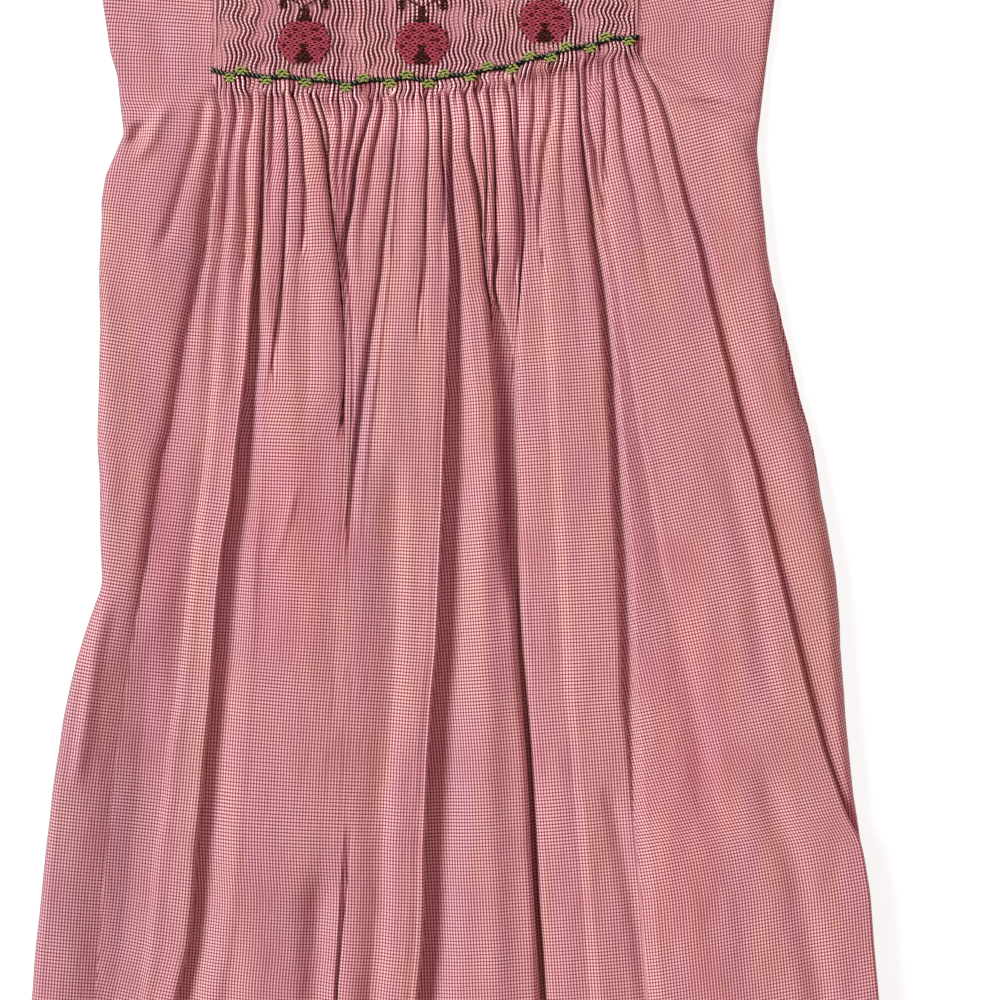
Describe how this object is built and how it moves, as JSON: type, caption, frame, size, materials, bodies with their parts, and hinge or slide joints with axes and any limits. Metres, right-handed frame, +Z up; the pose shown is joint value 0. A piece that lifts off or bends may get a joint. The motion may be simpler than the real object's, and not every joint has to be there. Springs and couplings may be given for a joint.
{
  "type": "smocked dress",
  "caption": "Child's sleeveless smocked dress in pink micro-check cotton, laid flat with its front up: pleated, embroidered inset over long soft folds.",
  "frame": {"origin": "middle of the dress's bounding box, on the surface it lies on", "axes": "+Z up off the surface, through back and then front; +Y from hem to neck; +X to the right as seen from above"},
  "size_m": [0.3792, 0.6358, 0.0184],
  "materials": {
    "check_cotton": "matt woven micro check in pink and rose",
    "binding_cotton": "matt bias strip of the same check"
  },
  "bodies": {
    "root": {"front": "check_cotton", "back": "check_cotton", "neck_binding": "binding_cotton", "armhole_binding_left": "binding_cotton", "armhole_binding_right": "binding_cotton"}
  },
  "joints": []
}
